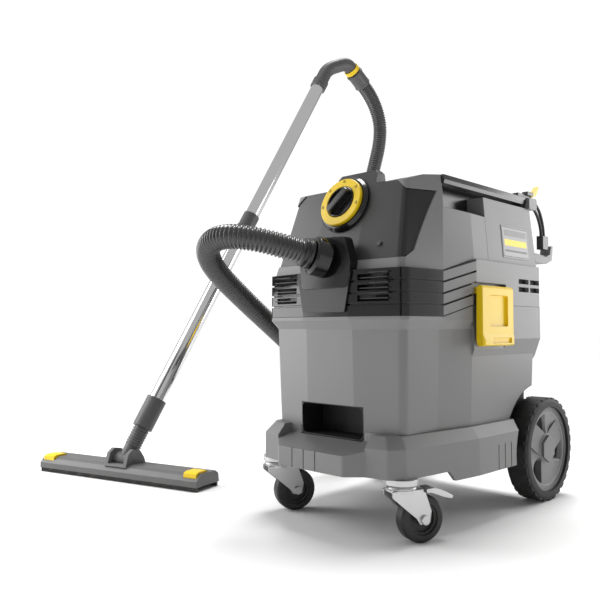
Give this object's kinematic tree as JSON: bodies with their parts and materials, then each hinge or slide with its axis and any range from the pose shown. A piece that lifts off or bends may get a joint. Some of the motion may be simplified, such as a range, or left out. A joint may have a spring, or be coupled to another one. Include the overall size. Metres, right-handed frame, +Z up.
{
  "type": "wet and dry shop vacuum",
  "caption": "Wet and dry shop vacuum on casters and large rear wheels, with a lift-off head, corrugated hose, chromed suction tubes and a wide floor nozzle.",
  "frame": {"origin": "on the floor, under the middle of the box round the machine, its tubes and its floor nozzle, without the hose and the straps", "axes": "+Z up; -Y is the front of the machine, where the hose goes in; +X is across the machine, away from the side that the floor nozzle stands on"},
  "size_m": [0.991, 0.9726, 1.1133],
  "materials": {
    "grey_plastic": "satin, fine grain",
    "black_gloss": "gloss",
    "panel_dark": "satin, fine grain",
    "yellow": "satin",
    "knob_black": "satin",
    "label": "printed foil",
    "tyre": "matte tread",
    "rim_grey": "satin",
    "caster_black": "matte",
    "zinc": "zinc plated",
    "steel": "turned",
    "chrome": "polished",
    "handle_grey": "satin",
    "nozzle_grey": "satin",
    "bristle_black": "matte",
    "hose_black": "satin, corrugated",
    "strap_black": "matte",
    "seal_rubber": "matte",
    "motor_steel": "satin",
    "fan_aluminium": "pressed",
    "filter_paper": "pleated",
    "filter_frame": "satin",
    "board": "satin",
    "float_white": "satin"
  },
  "bodies": {
    "container": {"tub": "grey_plastic", "chassis": "grey_plastic", "rear_axle": "steel", "caster_plates": "zinc", "tube_lower": "chrome", "tube_upper": "chrome", "tube_collars": "handle_grey", "wand_handle": "handle_grey", "neck_socket": "handle_grey", "suction_hose": "hose_black", "hose_cuff_handle": "handle_grey"},
    "head": {"head_base": "panel_dark", "tub_seal": "seal_rubber", "vent_band": "black_gloss", "head_housing": "grey_plastic", "control_panel": "panel_dark", "dial_boss": "black_gloss", "inlet_badge": "panel_dark", "inlet_housing": "black_gloss", "hose_cuff_machine": "black_gloss", "fan_case": "panel_dark", "motor_can": "motor_steel", "motor_bearings": "steel", "control_board": "board", "cable_gland": "panel_dark", "filter_frame": "filter_frame", "filter_pleats": "filter_paper", "float_cage": "panel_dark", "latch_pins": "steel", "cover_hinge": "panel_dark"},
    "float": {"float_ball": "float_white"},
    "fan": {"fan_and_rotor": "fan_aluminium"},
    "cover": {"filter_cover": "grey_plastic", "tool_tray": "panel_dark", "corner_bracket": "grey_plastic", "strap_hook_base": "panel_dark", "strap_hook": "yellow", "label_plate": "label", "strap_outer": "strap_black", "strap_inner": "strap_black", "strap_ferrule": "panel_dark", "strap_arm": "grey_plastic"},
    "knob": {"power_knob": "knob_black"},
    "size_ring": {"hose_size_ring": "yellow"},
    "latch_left": {"latch_left": "yellow"},
    "latch_right": {"latch_right": "yellow"},
    "caster_left": {"caster_fork_left": "zinc"},
    "caster_right": {"caster_fork_right": "zinc"},
    "caster_wheel_left": {"caster_wheel_left": "caster_black"},
    "caster_wheel_right": {"caster_wheel_right": "caster_black"},
    "brake": {"brake_pedal": "zinc"},
    "wheel_left": {"wheel_tyre_left": "tyre", "wheel_rim_left": "rim_grey"},
    "wheel_right": {"wheel_tyre_right": "tyre", "wheel_rim_right": "rim_grey"},
    "air_valve": {"air_valve_ring": "yellow"},
    "neck": {"nozzle_neck": "handle_grey"},
    "nozzle": {"nozzle_shell": "nozzle_grey", "nozzle_strips": "bristle_black", "nozzle_clips": "yellow"}
  },
  "joints": [
    {"name": "head_lift", "type": "slide", "parent": "container", "child": "head", "axis": [0, 0, 1], "range_m": [0, 0.15], "deforming": ["suction_hose"]},
    {"name": "float_rise", "type": "slide", "parent": "head", "child": "float", "axis": [0, 0, 1], "range_m": [0, 0.014]},
    {"name": "fan_spin", "type": "hinge", "parent": "head", "child": "fan", "pos_m": [0.30854, -0.11429, 0.4], "axis": [0, 0, 1], "continuous": true},
    {"name": "cover_hinge_turn", "type": "hinge", "parent": "head", "child": "cover", "pos_m": [0.30854, 0.17771, 0.462], "axis": [-1, 0, 0], "range_deg": [0, 75]},
    {"name": "size_ring_turn", "type": "hinge", "parent": "head", "child": "size_ring", "pos_m": [0.30854, -0.22387, 0.546], "axis": [0, -0.9493, 0.3145], "range_deg": [-135, 135]},
    {"name": "knob_turn", "type": "hinge", "parent": "head", "child": "knob", "pos_m": [0.30854, -0.22387, 0.546], "axis": [0, -0.9493, 0.3145], "range_deg": [-45, 225]},
    {"name": "latch_right_turn", "type": "hinge", "parent": "head", "child": "latch_right", "pos_m": [0.47453, -0.08429, 0.397], "axis": [0, -1, 0], "range_deg": [0, 33]},
    {"name": "latch_left_turn", "type": "hinge", "parent": "head", "child": "latch_left", "pos_m": [0.14253, -0.08429, 0.397], "axis": [0, 1, 0], "range_deg": [0, 33]},
    {"name": "caster_left_swivel", "type": "hinge", "parent": "container", "child": "caster_left", "pos_m": [0.17053, -0.25429, 0.1], "axis": [0, 0, 1], "continuous": true},
    {"name": "caster_wheel_left_spin", "type": "hinge", "parent": "caster_left", "child": "caster_wheel_left", "pos_m": [0.18355, -0.22506, 0.0375], "axis": [-0.9135, 0.4067, 0], "continuous": true},
    {"name": "wheel_left_spin", "type": "hinge", "parent": "container", "child": "wheel_left", "pos_m": [0.12254, 0.16471, 0.0985], "axis": [1, 0, 0], "continuous": true},
    {"name": "caster_right_swivel", "type": "hinge", "parent": "container", "child": "caster_right", "pos_m": [0.44654, -0.25429, 0.1], "axis": [0, 0, 1], "continuous": true},
    {"name": "caster_wheel_right_spin", "type": "hinge", "parent": "caster_right", "child": "caster_wheel_right", "pos_m": [0.45955, -0.22506, 0.0375], "axis": [-0.9135, 0.4067, 0], "continuous": true},
    {"name": "wheel_right_spin", "type": "hinge", "parent": "container", "child": "wheel_right", "pos_m": [0.49454, 0.16471, 0.0985], "axis": [1, 0, 0], "continuous": true},
    {"name": "brake_press", "type": "hinge", "parent": "caster_right", "child": "brake", "pos_m": [0.46362, -0.21592, 0.08], "axis": [-0.9135, 0.4067, 0], "range_deg": [0, 7]},
    {"name": "air_valve_turn", "type": "hinge", "parent": "container", "child": "air_valve", "pos_m": [-0.19146, 0.39371, 1.079], "axis": [0.02, 0.841, -0.5406], "range_deg": [-60, 60]},
    {"name": "neck_swivel", "type": "hinge", "parent": "container", "child": "neck", "pos_m": [-0.26247, -0.22729, 0.168], "axis": [0.0408, 0.5098, 0.8593], "range_deg": [-45, 45]},
    {"name": "nozzle_tilt", "type": "hinge", "parent": "neck", "child": "nozzle", "pos_m": [-0.26859, -0.30376, 0.0391], "axis": [0.9603, 0.279, 0], "range_deg": [-25, 0]}
  ]
}
